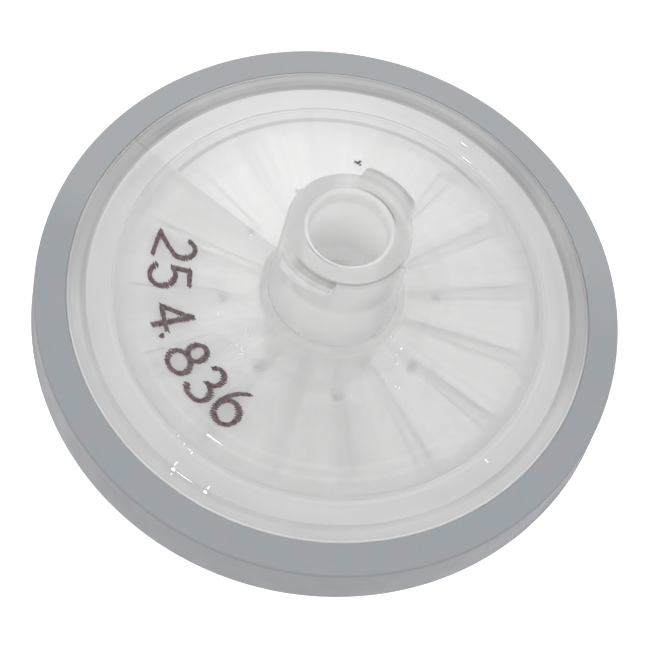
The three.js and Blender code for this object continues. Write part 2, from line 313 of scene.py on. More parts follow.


# ---------------------------------------------------------------- painted light and shade of the plastic

# Painted light and shade: reflections, highlights and shadows painted into the plastic's colour,
# sector by sector.
# Each row is a sector of a ring. Millimetres: inner and outer radius, softness. Degrees: from, to,
# fade in, fade out, both outside from and to. Then how far it reaches down from the top, in
# millimetres, and the change of shade.
DEEP = 99  # all the way down
WHOLE_TURN = (-180, 179.9, 0.1, 0.1)
REACH_FADE, LEAST_FADE = 0.3, 0.15  # it fades over this share of its reach, but at least so far
# Inlet plate: a painted reflection, lighter with one sharp edge; painted light and shade where ribs
# and steps show through; painted light and shade round the hub's foot; painted light arcs, a dark
# ring and more painted shade in places.
PLATE_PAINTED_LIGHT = (
    (4.3, 9.6, 1.5, 93.5, 93.7, 0.3, 42, DEEP, -0.06),
    (4.3, 15.0, 0.1, 93.5, 93.7, 0.3, 34, DEEP, -0.07),
    (4.3, 9.2, 0.8, 74, 93.3, 2, 0.2, DEEP, 0.06),
    (6.0, 11.3, 0.5, -112, -55, 6, 20, DEEP, 0.05),
    (5.8, 8.8, 0.5, -50, 4, 10, 6, DEEP, 0.03),
    (6.3, 11.3, 0.4, -104.5, -93.5, 3, 2, DEEP, 0.03),
    (6.3, 11.5, 0.4, -82, -74.5, 1.5, 2, DEEP, 0.05),
    (7.0, 10.8, 0.4, -59.5, -53.5, 2, 3, DEEP, 0.05),
    (5.5, 7.5, 0.4, -71.5, -64.5, 1.5, 2, DEEP, -0.04),
    (6.3, 8.6, 0.5, 130, 136, 4, 4, DEEP, -0.05),
    (6.0, 8.0, 0.5, 147.5, 151.5, 3, 2, DEEP, 0.04),
    (7.0, 9.0, 0.5, 160, 167, 3, 2, DEEP, -0.04),
    (7.0, 10.4, 0.4, -137.5, -128.5, 3, 3, DEEP, -0.035),
    (4.2, 5.4, 0.6, 178, 212, 12, 12, DEEP, 0.08),
    (3.6, 4.2, 0.1, *WHOLE_TURN, DEEP, 0.06),
    (3.6, 4.2, 0.15, 85, 165, 15, 20, DEEP, -0.06),
    (10.5, 10.65, 0.12, 165, 262, 20, 15, DEEP, 0.03),
    (11.2, 11.35, 0.12, 165, 262, 20, 15, DEEP, 0.035),
    (12.5, 12.62, 0.08, 150, 290, 20, 25, DEEP, 0.05),
    (11.45, 11.6, 0.12, -2.5, 92.5, 10, 1, DEEP, -0.2),
    (11.78, 11.9, 0.1, -50, -2.5, 15, 10, DEEP, -0.07),
    (11.75, 12.0, 0.1, -2.5, 92.5, 10, 1, DEEP, 0.05),
    (12.2, 13.75, 0.05, 95, 345, 8, 12, DEEP, -0.075),
    (7.5, 11.3, 1.0, 192, 230, 15, 20, DEEP, -0.045),
    (4.6, 6.6, 0.5, -50, -5, 10, 10, DEEP, -0.05),
)
# Raised margin: painted shade bands, the painted reflection's edge, and a painted highlight along
# the edge beside the band.
MARGIN_PAINTED_LIGHT = (
    (13.6, 13.95, 0.15, -45, 145, 25, 25, DEEP, -0.08),
    (13.8, 14.85, 0.15, -62, -10, 18, 18, DEEP, -0.12),
    (13.9, 14.25, 0.12, -10, 85, 18, 10, DEEP, -0.1),
    (13.9, 14.75, 0.12, 85, 125, 10, 20, DEEP, -0.12),
    (13.8, 14.8, 0.12, -104, -40, 12, 12, DEEP, -0.08),
    (14.15, 14.5, 0.12, 145, 315, 30, 30, DEEP, 0.05),
    (14.62, 14.75, 0.04, -45, 100, 25, 12, DEEP, -0.15),
    (14.66, 14.78, 0.03, 160, 290, 25, 25, DEEP, 0.25),
    (13.6, 14.8, 0.05, 93.3, 93.8, 0.15, 0.15, DEEP, -0.1),
)
# Hub: painted shade in dark crescents at its mouth, over its rim and lugs and down its walls under
# the rim, and a little painted light on the near lug.
HUB_PAINTED_LIGHT = (
    (2.4, 2.46, 0.03, -28, 5, 14, 30, 0.4, -0.32),
    (2.38, 2.44, 0.04, 165, 190, 20, 20, 0.4, -0.25),
    (2.4, 4.2, 0.1, *WHOLE_TURN, 0.1, -0.28),
    (3.2, 4.2, 0.3, -36, 30, 8, 4, 0.4, -0.08),
    (3.7, 4.2, 0.05, -60, 60, 1, 1, 0.5, -0.12),
    (3.86, 4.2, 0.04, -40, 35, 4, 4, 0.5, -0.12),
    (2.5, 3.3, 0.1, -36, 30, 10, 10, 0.3, -0.05),
    (3.3, 3.75, 0.06, 175, 262, 15, 25, DEEP, -0.09),
    (3.3, 3.75, 0.06, 178, 262, 15, 25, 2.6, -0.08),
    (3.3, 3.75, 0.06, 217, 262, 15, 25, 2.6, -0.05),
    (3.3, 3.8, 0.04, 212, 280, 10, 30, 0.5, -0.08),
    (3.45, 3.9, 0.05, 165, 200, 8, 6, 0.6, 0.06),
    (3.4, 3.96, 0.05, 192, 212, 6, 2, 1.2, -0.07),
    (3.36, 3.5, 0.02, 172, 205, 8, 8, 2.6, -0.08),
    (3.86, 4.2, 0.04, 142, 216, 6, 4, 1.5, -0.1),
)
# Socket: painted shade on its far wall and on the ring of its rounded mouth.
BORE_PAINTED_SHADE = (
    (0, 2.6, 0.1, -45, 100, 40, 40, 1.8, -0.05),
    (0, 2.6, 0.1, -45, 100, 40, 40, 0.9, -0.07),
    (2.16, 2.42, 0.05, *WHOLE_TURN, DEEP, -0.19),
)
# Band: a painted sheen on its far side.
BAND_PAINTED_SHEEN = ((14.8, 17, 0.1, -35, 108, 25, 15, DEEP, 0.3),)

# Painted light and shade beside each rib, where it shows through the plate. Degrees: direction from
# the rib's middle, half the width, fade. Then the change.
RIB_PAINTED_LIGHT = (
    (0, 0.4, 0.5, -0.3),
    (-5, 2.0, 2, 0.14),
    (3.5, 1.0, 2, -0.15),
    (8, 2.0, 2.5, 0.12),
)

# Scales of the clouds and of the fine waviness, and how strongly the waviness shows in the skin.
PLATE_GRAIN, MARGIN_GRAIN = (260.0, 1400.0, 0.08), (500.0, 1400.0, 0.08)
HUB_GRAIN, BORE_GRAIN = (500.0, 2200.0, 0.1), (600.0, 2200.0, 0.1)
BAND_GRAIN, INK_GRAIN = (700.0, 3000.0, 0.25), (4500.0, 9000.0, 0)

# How clouds, rings, rays and streaks change a shade, from the least to the most.
PLATE_CLOUDS, PLATE_RINGS, PLATE_RAYS = (0.915, 0.945), (0.02, 0.07), (-0.02, 0.02)
MARGIN_CLOUDS, MARGIN_RINGS = (-0.03, 0.0), (0.93, 1.0)
HUB_CLOUDS, BORE_CLOUDS = (0.98, 1.01), (0.98, 1.02)
RIB_STREAKS, FIBRE_STRANDS = (0.25, 1.35), (0.9, 0.97)

# Under the plate: the shade inside the pinched margin, which itself stays at 1, and painted shade
# at its step, outside the ribs, at pins.
PINCHED, STEP_PAINTED_SHADE, COLLECTOR_PAINTED_SHADE, PIN_PAINTED_SHADE = 0.86, -0.2, -0.15, -0.7
PIN_BAND = (0, 1.5, 2)  # degrees: direction, half the width, fade

# Painted shade on the band where it faces away from the camera.
PAINTED_OUTLINE_SHADE = (0.88, 1.0, 0.0, 0.7)  # how far the band faces away, from and to; its darkening, the same
OUTLINE_SHADE_SHARE = 0.2  # share of the band's colour at its outline
INK_PALE = 3.0  # how much lighter the ink is where it is thin
FELT_TURNS, FELT_SCALE, FELT_LENGTH = (0.35, 1.25, 2.4), 700, 12  # radians; length beside the width


# ---------------------------------------------------------------- shader groups and materials

MIX_FIRST, MIX_SECOND, MIX_RESULT = 6, 7, 2  # a mix node's sockets for colours
NOISE_SPAN = (0.3, 0.7)  # nearly all of a noise lies between these
SKIN_INDEX = 1.49
WAVE_DEPTH = 0.02 * MM
BLACK, WHITE = (0, 0, 0, 1), (1, 1, 1, 1)


class Wiring:
    """Short ways to add and join nodes in one node tree."""

    def __init__(self, tree):
        self.tree = tree

    def node(self, kind, **values):
        made = self.tree.nodes.new(kind)
        for key, value in values.items():
            setattr(made, key, value)
        return made

    def fill(self, node, values):
        """Gives a node's inputs an output to follow or a plain value."""
        for key, value in values.items():
            if isinstance(value, bpy.types.NodeSocket):
                self.tree.links.new(value, node.inputs[key])
            else:
                node.inputs[key].default_value = value
        return node.outputs

    def math(self, operation, *values):
        made = self.node("ShaderNodeMath", operation=operation)
        return self.fill(made, dict(enumerate(values)))["Value"]

    def times(self, first, second):
        return self.math("MULTIPLY", first, second)

    def plus(self, first, second):
        return self.math("ADD", first, second)

    def minus(self, first, second):
        return self.math("SUBTRACT", first, second)

    def changed(self, value, mask, change):
        """A value with a change where a mask lies."""
        return self.plus(value, self.times(mask, change))

    def fit(self, value, low, high, to_low, to_high, curve="LINEAR"):
        made = self.node("ShaderNodeMapRange", interpolation_type=curve)
        return self.fill(made, {
            "Value": value, "From Min": low, "From Max": high, "To Min": to_low, "To Max": to_high
        })["Result"]

    def between(self, value, low, high):
        """A value that runs from 0 to 1, made to run from low to high."""
        return self.fit(value, 0.0, 1.0, low, high)

    def rise(self, value, edge, soft):
        """0 well below an edge and 1 above it."""
        return self.fit(value, self.minus(edge, soft), edge, 0.0, 1.0, "SMOOTHSTEP")

    def fall(self, value, edge, soft):
        """1 below an edge and 0 well above it."""
        return self.fit(value, edge, self.plus(edge, soft), 1.0, 0.0, "SMOOTHSTEP")

    def mix(self, factor, first, second):
        made = self.node("ShaderNodeMix", data_type="RGBA", clamp_factor=False)
        return self.fill(made, {"Factor": factor, MIX_FIRST: first, MIX_SECOND: second})[MIX_RESULT]

    def place(self):
        return self.node("ShaderNodeTexCoord").outputs["Object"]

    def split(self, vector):
        return self.fill(self.node("ShaderNodeSeparateXYZ"), {"Vector": vector}).values()

    def noise(self, place, scale, detail):
        made = self.node("ShaderNodeTexNoise")
        return self.fill(made, {"Vector": place, "Scale": scale, "Detail": detail})["Fac"]


def group(name, inputs, outputs, wire):
    """A shader node group with named number inputs and outputs, built once."""
    made = bpy.data.node_groups.get(name)
    if made:
        return made
    made = bpy.data.node_groups.new(name, "ShaderNodeTree")
    for key, default in inputs.items():
        socket = made.interface.new_socket(key, in_out="INPUT", socket_type="NodeSocketFloat")
        socket.default_value = default
    for key in outputs:
        made.interface.new_socket(key, in_out="OUTPUT", socket_type="NodeSocketFloat")
    w = Wiring(made)
    given = w.node("NodeGroupInput").outputs
    w.fill(w.node("NodeGroupOutput"), wire(w, given))
    return made


def place_group(w, made, **values):
    values = {key.replace("_", " ").capitalize(): value for key, value in values.items()}
    return w.fill(w.node("ShaderNodeGroup", node_tree=made), values)


def round_axis(w):
    """Radius, angle and height of a point of the filter."""
    x, y, z = w.split(w.place())
    return w.math("SQRT", w.plus(w.times(x, x), w.times(y, y))), w.math("ARCTAN2", y, x), z


def ring_group():
    """A mask of the ring between two radii round the filter's axis, soft at both edges."""

    def wire(w, given):
        radius, _, _ = round_axis(w)
        inside = w.fall(radius, given["Outer"], given["Soft"])
        return {"Mask": w.times(w.rise(radius, given["Inner"], given["Soft"]), inside)}

    return group("ring_round_axis", {"Inner": 0.0, "Outer": 1.0, "Soft": 0.0001}, ("Mask",), wire)


def arc_group():
    """A mask of a sector between two angles and two heights, with its own fade at each end."""

    def wire(w, given):
        _, angle, height = round_axis(w)
        half = w.times(w.minus(given["To"], given["From"]), 0.5)
        off = w.math("WRAP", w.minus(angle, w.plus(given["From"], half)), math.pi, -math.pi)
        start = w.rise(off, w.times(half, -1.0), given["Fade in"])
        end = w.fall(off, half, given["Fade out"])
        above = w.rise(height, given["Low"], given["Soft"])
        under = w.fall(height, given["High"], given["Soft"])
        return {"Mask": w.times(w.times(start, end), w.times(above, under))}

    inputs = {"From": 0.0, "To": 1.0, "Fade in": 0.1, "Fade out": 0.1,
              "Low": -1.0, "High": 1.0, "Soft": 0.0001}
    return group("arc_round_axis", inputs, ("Mask",), wire)


def spokes_group():
    """How far a point turns from the nearest of several evenly spaced spokes."""

    def wire(w, given):
        _, angle, _ = round_axis(w)
        pitch = w.math("DIVIDE", 2 * math.pi, given["Count"])
        nearest = w.math("ROUND", w.math("DIVIDE", angle, pitch))
        return {"Off": w.minus(angle, w.times(nearest, pitch))}

    return group("spokes_round_axis", {"Count": 16.0}, ("Off",), wire)


def streaks_group():
    """Streaks from 0 to 1 drawn out round the axis or away from it."""

    def wire(w, given):
        radius, angle, _ = round_axis(w)
        place = w.fill(w.node("ShaderNodeCombineXYZ"), {
            "X": w.times(w.math("COSINE", angle), given["Round"]),
            "Y": w.times(w.math("SINE", angle), given["Round"]),
            "Z": w.times(radius, given["Out"]),
        })["Vector"]
        return {"Streak": w.fit(w.noise(place, 1, 3), *NOISE_SPAN, 0.0, 1.0)}

    return group("streaks_round_axis", {"Round": 4.0, "Out": 1000.0}, ("Streak",), wire)


def mottle_group():
    """Soft clouds from 0 to 1 and a finer waviness for bump, both fixed to the piece."""

    def wire(w, given):
        place = w.place()
        clouds = w.noise(place, given["Cloud scale"], 3)
        return {
            "Clouds": w.fit(clouds, *NOISE_SPAN, 0.0, 1.0),
            "Fine": w.noise(place, given["Fine scale"], 2),
        }

    return group("mottle", {"Cloud scale": 300.0, "Fine scale": 2500.0}, ("Clouds", "Fine"), wire)


def ring(w, inner, outer, soft):
    return place_group(w, ring_group(), inner=inner, outer=outer, soft=soft)["Mask"]


def off_spokes(w, count):
    return place_group(w, spokes_group(), count=float(count))["Off"]


def streaks(w, around, out):
    return place_group(w, streaks_group(), round=around, out=out)["Streak"]


def relief(w, surface, height, strength, depth=WAVE_DEPTH):
    values = {"Strength": strength, "Distance": depth, "Height": height}
    w.fill(surface, {"Normal": w.fill(w.node("ShaderNodeBump"), values)["Normal"]})


def grained(w, surface, cloud_scale, fine_scale, strength):
    """Gives a skin its fine waviness, and returns clouds from 0 to 1."""
    mottle = place_group(w, mottle_group(), cloud_scale=cloud_scale, fine_scale=fine_scale)
    if strength:
        relief(w, surface, mottle["Fine"], strength)
    return mottle["Clouds"]


def with_painted_light(w, shade, painted_light, top):
    """A shade changed by painted light and shade in every sector of a ring that a table names."""
    for inner, outer, soft, *turns, reach, change in painted_light:
        turns = dict(zip(("from", "to", "fade_in", "fade_out"), map(math.radians, turns)))
        fade = max(LEAST_FADE, reach * REACH_FADE) * MM
        sector = place_group(w, arc_group(), low=top - reach * MM, high=top, soft=fade, **turns)
        mask = w.times(sector["Mask"], ring(w, inner * MM, outer * MM, soft * MM))
        shade = w.changed(shade, mask, change)
    return shade


def band_of(w, value, middle, half, fade):
    """1 within half of the middle and 0 beyond the fade, all three in degrees."""
    middle, half, fade = map(math.radians, (middle, half, fade))
    off = w.math("ABSOLUTE", w.minus(value, middle))
    return w.fit(off, half, half + fade, 1.0, 0.0, "SMOOTHSTEP")


def tint(w, surface, shade, colour):
    """Gives a surface a colour times a shade, never brighter than white."""
    shade = w.math("MINIMUM", shade, 1 / max(colour))
    w.fill(surface, {"Base Color": w.mix(shade, BLACK, (*colour, 1))})


def new_material(name):
    material = bpy.data.materials.new(name)
    material.use_nodes = True
    return material, Wiring(material.node_tree), material.node_tree.nodes["Principled BSDF"]


def new_plastic(name, finish, clearness, roughness, index, coat=1.0):
    """Light passes through the plastic and wanders in it, under a glossy skin."""
    material, w, surface = new_material(name)
    w.fill(surface, {
        "Roughness": roughness,
        "IOR": index,
        "Transmission Weight": clearness,
        "Subsurface Weight": 1,
        "Subsurface Radius": (1, 1, 1),
        "Subsurface Scale": finish.scatter,
        "Coat Weight": coat,
        "Coat Roughness": finish.gloss,
        "Coat IOR": SKIN_INDEX,
    })
    return material, w, surface


def plate_material(finish, name, clearness, painted_light):
    """Natural polypropylene: cloudy and glossy, with faint rays and rings, and the painted
    reflections and shade that a table gives it.
    """
    material, w, surface = new_plastic(name, finish, clearness, finish.roughness, finish.index)
    shade = w.between(grained(w, surface, *PLATE_GRAIN), *PLATE_CLOUDS)
    edge = ring(w, inner=DISC_HIGH.x - 1.3 * MM, outer=BAND_HIGH.x, soft=0.2 * MM)
    rings = w.between(streaks(w, around=2.0, out=1500.0), *PLATE_RINGS)
    wetted = ring(w, inner=4.6 * MM, outer=DISC_HIGH.x - 1.9 * MM, soft=0.6 * MM)
    rays = w.between(streaks(w, around=18.0, out=60.0), *PLATE_RAYS)
    shade = w.changed(w.changed(shade, edge, rings), wetted, rays)
    tint(w, surface, with_painted_light(w, shade, painted_light, BAND_HIGH.z), finish.colour)
    return material


def margin_material(finish):
    """The same plastic over the band: greyer, less clear, with rings of its own, and painted shade
    and highlights.
    """
    material, w, surface = new_plastic(
        "margin_plastic", finish, finish.margin_clearness, finish.roughness, finish.index
    )
    clouds = w.between(grained(w, surface, *MARGIN_GRAIN), *MARGIN_CLOUDS)
    rings = w.between(streaks(w, around=3.0, out=2500.0), *MARGIN_RINGS)
    shade = with_painted_light(w, w.plus(rings, clouds), MARGIN_PAINTED_LIGHT, BAND_HIGH.z)
    tint(w, surface, shade, finish.margin)
    return material


def hub_material(finish):
    """The same plastic with a rougher skin, and painted light and shade at its mouth, rim, lugs and
    walls.
    """
    material, w, surface = new_plastic(
        "hub_plastic", finish, finish.hub_clearness, finish.hub_roughness, finish.hub_index, 0.25
    )
    shade = w.between(grained(w, surface, *HUB_GRAIN), *HUB_CLOUDS)
    tint(w, surface, with_painted_light(w, shade, HUB_PAINTED_LIGHT, INLET_HIGH.z), finish.colour)
    return material


def bore_material(finish):
    """The same plastic inside the hub, where the light that it gathers comes out, with painted
    shade on its far wall and rounded mouth.
    """
    material, w, surface = new_plastic(
        "bore_plastic", finish, finish.bore_clearness, finish.hub_roughness, finish.hub_index, 0
    )
    shade = w.between(grained(w, surface, *BORE_GRAIN), *BORE_CLOUDS)
    tint(w, surface, with_painted_light(w, shade, BORE_PAINTED_SHADE, INLET_HIGH.z), finish.colour)
    w.fill(surface, {"Subsurface Scale": finish.bore_scatter})
    return material


def underside_material(finish, inlet):
    """The same plastic under the plate, with painted light and shade where its ribs, pins and steps
    stand.
    """
    material, w, surface = new_plastic(
        "underside_plastic", finish, finish.clearness, finish.roughness, finish.index, 0
    )
    wetted = wetted_radius(inlet)
    collector = wetted - inlet.collector_width
    just = 0.01 * MM
    shade = w.fit(round_axis(w)[0], wetted, wetted + just, PINCHED, 1.0)
    ribs = w.times(ring(w, inlet.rib_start, collector, 0.2 * MM),
                   w.between(streaks(w, around=3.0, out=60.0), *RIB_STREAKS))
    off_rib = off_spokes(w, inlet.rib_count)
    for middle, half, fade, change in RIB_PAINTED_LIGHT:
        shade = w.changed(shade, w.times(band_of(w, off_rib, middle, half, fade), ribs), change)
    for inner, outer, change in (
        (wetted - 0.15 * MM, wetted + just, STEP_PAINTED_SHADE), (collector, wetted, COLLECTOR_PAINTED_SHADE)
    ):
        shade = w.changed(shade, ring(w, inner, outer, 0.02 * MM), change)
    beside = 0.12 * MM
    circle = ring(w, inlet.pin_circle - beside, inlet.pin_circle + beside, 0.15 * MM)
    off_pin = off_spokes(w, inlet.rib_count // 2)
    shade = w.changed(shade, w.times(band_of(w, off_pin, *PIN_BAND), circle), PIN_PAINTED_SHADE)
    tint(w, surface, shade, finish.colour)
    return material


def band_material(finish):
    """Blue-grey, mauve in places, with a satin skin; painted sheen on one side, a wall darkened as
    painted shade, and painted shade towards its outline.
    """
    material, w, surface = new_material("grey_band_plastic")
    clouds = grained(w, surface, *BAND_GRAIN)
    base = w.mix(clouds, (*finish.colour, 1), (*finish.tint, 1))
    # Painted sheen: the far side of the band turns paler.
    base = w.mix(with_painted_light(w, 0.0, BAND_PAINTED_SHEEN, BAND_HIGH.z), base, (*finish.bloom, 1))
    # Painted shade: the band's wall takes its darker grey.
    wall = ring(w, BAND_HIGH.x - 0.35 * MM, BAND_HIGH.x + 1 * MM, 0.08 * MM)
    base = w.mix(wall, base, (*finish.wall, 1))
    # Painted shade: darker towards the outline, where the band faces away from the camera.
    facing = w.fill(w.node("ShaderNodeLayerWeight"), {"Blend": 0.5})["Facing"]
    dark = (*[c * OUTLINE_SHADE_SHARE for c in finish.colour], 1)
    w.fill(surface, {
        "Base Color": w.mix(w.fit(facing, *PAINTED_OUTLINE_SHADE), base, dark),
        "Roughness": w.between(clouds, finish.roughness, finish.roughness * 1.25),
        "Specular IOR Level": 0.3,
    })
    return material


def felt(w):
    """Crossing strands of a felted mat."""
    strands = []
    for turn in FELT_TURNS:
        lay = {"Vector": w.place(), "Rotation": (0, 0, turn), "Scale": (1, FELT_LENGTH, 1)}
        drawn_out = w.fill(w.node("ShaderNodeMapping"), lay)["Vector"]
        strands.append(w.noise(drawn_out, FELT_SCALE, 3))
    return w.math("MAXIMUM", w.math("MAXIMUM", strands[0], strands[1]), strands[2])


def fibre_material(finish):
    """A felted mat of fine white fibres."""
    material, w, surface = new_material("glass_fibre")
    strands = felt(w)
    tint(w, surface, w.fit(strands, 0.45, 0.75, *FIBRE_STRANDS), finish.colour)
    w.fill(surface, {"Roughness": 0.95, "Specular IOR Level": 0.2})
    relief(w, surface, strands, strength=0.5, depth=0.03 * MM)
    return material


def ink_material(finish):
    """Dark brown ink, thinner and paler in places."""
    material, w, surface = new_material("brown_ink")
    clouds = grained(w, surface, *INK_GRAIN)
    pale = (*[min(1, c * INK_PALE) for c in finish.colour], 1)
    w.fill(surface, {"Base Color": w.mix(clouds, (*finish.colour, 1), pale), "Roughness": 0.55})
    return material


# ---------------------------------------------------------------- inlet half


def inlet_angles(inlet, lugs):
    """Evenly spaced angles, with more of them at the edges of ribs, lugs and fins."""
    whole = 2 * math.pi
    step, beside, least = math.radians(1.25), math.radians(0.25), math.radians(0.06)
    angles = list(np.arange(0, whole, step))
    for index in range(inlet.rib_count):
        for side in (-1, 1):
            edge = index * whole / inlet.rib_count + side * inlet.rib_angle / 2
            angles += [edge - beside, edge, edge + beside]
    for half_turn in (0, math.pi):
        for place, width, shares in (
            (lugs.fin_turn, lugs.fin_width, (-0.5, -0.35, -0.2, 0.2, 0.35, 0.5)),
            (lugs.end, -lugs.run_out, (0, 0.05, 0.15, 0.3, 0.5, 0.75)),
            (lugs.start, lugs.run_in, (0, 0.03)),
        ):
            angles += [half_turn + place + width * s for s in shares]
    angles = np.sort(np.mod(angles, whole))
    apart = np.diff(angles, append=angles[0] + whole) > least
    return angles[apart]


def lug_shape(inlet, lugs):
    """How the locking lugs and the fins of flash push out the hub below its rim."""
    rim = INLET_HIGH.z
    wall_top = rim - inlet.rim_round
    hub_inside = inlet.rim_radius - inlet.rim_round * 1.01
    lowest = rim - 3 * MM
    crest = inlet.rim_radius + lugs.reach
    quarter = math.pi / 2

    def within_half_turn(angle):
        return np.mod(angle + quarter, math.pi) - quarter

    def shape(radius, height, angle):
        turn = within_half_turn(angle)
        comes_out = np.sin(np.clip((turn - lugs.start) / lugs.run_in, 0, 1) * quarter)
        goes_in = np.sin(np.clip((lugs.end - turn) / lugs.run_out, 0, 1) * quarter)
        under = rim - lugs.thickness - lugs.lead * (lugs.end - turn) / (2 * math.pi)
        wall = height < wall_top
        lug = np.where(wall, ramp(height, under - lugs.slope, under), 1) * comes_out * goes_in
        off_fin = np.abs(within_half_turn(angle - lugs.fin_turn))
        fin = (1 - ramp(off_fin, lugs.fin_width * 0.2, lugs.fin_width / 2)) * lugs.fin_reach
        fin = fin * np.clip(1 - (rim - height) / lugs.fin_height, 0, 1)
        out = np.where(wall, crest - radius, lugs.reach) * lug
        hub = (radius > hub_inside) & (height > lowest)
        return np.where(hub, radius + np.maximum(out, fin), radius)

    return shape


def rib_shape(inlet, roof, drop):
    """How the ribs and pins hang from the inlet plate's roof."""
    end = wetted_radius(inlet) - inlet.collector_width
    pitch = 2 * math.pi / inlet.rib_count
    edge, beside = 0.03 * MM, math.radians(0.2)

    def shape(radius, height, angle):
        index = np.round(angle / pitch)
        turn = angle - index * pitch
        at_pin = np.mod(index, 2) == 0
        start = np.where(at_pin, inlet.pin_circle, inlet.rib_start)
        rib = 1 - ramp(np.abs(turn), inlet.rib_angle / 2 - beside, inlet.rib_angle / 2 + beside)
        rib = rib * ramp(radius, start - edge, start + edge)
        rib = rib * (1 - ramp(radius, end - edge, end + edge))
        apart = np.hypot(radius * np.cos(turn) - inlet.pin_circle, radius * np.sin(turn))
        pin = 1 - ramp(apart, inlet.pin_radius - edge, inlet.pin_radius + edge)
        hanging = np.maximum(rib, np.where(at_pin, pin, 0))
        return np.where(np.abs(height - roof) < SAME, height - drop * hanging, height)

    return shape


def inlet_heights(inlet):
    """Height of the inlet plate's face, and of its roof over the disc."""
    face = BAND_HIGH.z - inlet.face_drop
    return face, face - inlet.wall


# How the raised margin's foot runs out into the face: outwards and up, in millimetres.
MARGIN_FOOT = ((0.12, 0.03), (0.06, 0.01), (0, 0.002), (-0.08, 0))


def plate_profile(inlet, face):
    """The inlet plate's upper side, from under the band's lip in to the hub's fillet."""
    outer = INLET_HIGH.x - inlet.gap
    lip = INLET_HIGH.x - inlet.lip_overlap - inlet.gap
    lip_under = BAND_HIGH.z - inlet.lip_sink - inlet.gap
    foot = INLET_HIGH.x - inlet.lip_overlap - inlet.bevel_width
    crest = face + inlet.bevel_rise
    groove = wetted_radius(inlet) + inlet.line_offset
    half = inlet.line_width / 2
    fillet = inlet.rim_radius + inlet.hub_spread + inlet.hub_fillet
    beside = 0.04 * MM
    margin_foot = [(foot + out * MM, face + up * MM) for out, up in MARGIN_FOOT]
    return [
        (outer, INLET_LOW.z),
        (outer, lip_under),
        (lip, lip_under),
        (lip, crest - inlet.crest_round),
        *arc(lip - inlet.crest_round, crest - inlet.crest_round, inlet.crest_round, 30, 90, 2),
        *line((lip - inlet.crest_round, crest), margin_foot[0], 6),
        *margin_foot[1:],
        *line(margin_foot[-1], (groove + half + beside, face), 4),
        *[(groove + half * math.cos(a), face - inlet.line_depth * math.sin(a))
          for a in np.linspace(0, math.pi, 9)],
        (groove - half - beside, face),
        *line((groove - half - beside, face), (fillet + 0.1 * MM, face), 20),
    ]


def hub_profile(inlet, face):
    """From the fillet up the hub, over its rim and down the socket to the feed hole."""
    rim, mouth = INLET_HIGH.z, inlet.mouth_radius
    rim_round, mouth_round, fillet = inlet.rim_round, inlet.mouth_round, inlet.hub_fillet
    wall_top = (inlet.rim_radius, rim - rim_round)
    wall_foot = (inlet.rim_radius + inlet.hub_spread, face + fillet)
    lug_zone = 2.4 * MM / (wall_top[1] - wall_foot[1])
    lugs_foot = tuple(top + (foot - top) * lug_zone for top, foot in zip(wall_top, wall_foot))
    floor = rim - inlet.socket_depth
    narrow = mouth - inlet.taper * inlet.socket_depth
    edge = 0.05 * MM
    return [
        *arc(wall_foot[0] + fillet, wall_foot[1], fillet, 270, 180, 10),
        *line(wall_foot, lugs_foot, 8),
        *line(lugs_foot, wall_top, 40),
        *arc(inlet.rim_radius - rim_round, rim - rim_round, rim_round, 0, 90, 8)[1:],
        *arc(mouth + mouth_round, rim - mouth_round, mouth_round, 90, 180, 10),
        *line((mouth, rim - mouth_round), (narrow + edge, floor), 8)[:-1],
        *arc(narrow - edge, floor + 2 * edge, 2 * edge, 0, -90, 4),
        (inlet.feed_radius + edge, floor),
        (inlet.feed_radius, floor - edge),
    ]


def roof_profile(inlet, roof):
    """From the feed hole out under the plate to the face that pinches the disc."""
    wetted = wetted_radius(inlet)
    collector = wetted - inlet.collector_width
    step, gap, round_pin = 0.04 * MM, 0.1 * MM, 0.44 * MM
    radii = np.concatenate([
        np.linspace(inlet.flare_radius, inlet.rib_start - gap, 6),
        [inlet.rib_start - step, inlet.rib_start, inlet.rib_start + step],
        np.linspace(inlet.rib_start + gap, inlet.pin_circle - 0.5 * MM, 5),
        np.linspace(inlet.pin_circle - round_pin, inlet.pin_circle + round_pin, 19),
        np.linspace(inlet.pin_circle + 0.6 * MM, collector - gap, 12),
        [collector - step, collector, collector + step],
        [collector + gap, wetted - gap],
    ])
    return [
        (inlet.feed_radius, roof + inlet.flare_height),
        *[(r, roof) for r in radii],
        (wetted, roof),
        (wetted, INLET_LOW.z),
    ]


def build_inlet(inlet, lugs, plastic):
    face, roof = inlet_heights(inlet)
    profile = plate_profile(inlet, face) + hub_profile(inlet, face) + roof_profile(inlet, roof)
    push = lug_shape(inlet, lugs)
    hang = rib_shape(inlet, roof, roof - DISC_HIGH.z - inlet.gap)

    def shape(radius, height, angle):
        return push(radius, height, angle), hang(radius, height, angle)

    piece = turned("inlet_half", profile, inlet_angles(inlet, lugs), shape)
    materials = (
        plate_material(plastic, "plate_plastic", plastic.clearness, PLATE_PAINTED_LIGHT),
        margin_material(plastic),
        hub_material(plastic),
        underside_material(plastic, inlet),
        bore_material(plastic),
        plate_material(plastic, "seal_plastic", plastic.seal_clearness, PLATE_PAINTED_LIGHT),
    )
    _, at_margin, at_hub, underside, in_bore, at_seal = range(len(materials))
    finish_piece(piece, materials, "housing", "inlet_housing")
    feed = inlet.feed_radius + 0.02 * MM
    mouth = inlet.mouth_radius + inlet.mouth_round
    for skin in piece.data.polygons:
        radius, height = skin.center.xy.length, skin.center.z
        if radius > DISC_HIGH.x:
            skin.material_index = at_margin
        elif radius < feed or height > face + inlet.hub_fillet:
            under_rim = height < INLET_HIGH.z - 0.05 * MM
            skin.material_index = in_bore if radius < mouth and under_rim else at_hub
        elif height < roof + 0.01 * MM and radius > inlet.flare_radius:
            skin.material_index = underside
        elif radius > wetted_radius(inlet) + 0.2 * MM:
            skin.material_index = at_seal


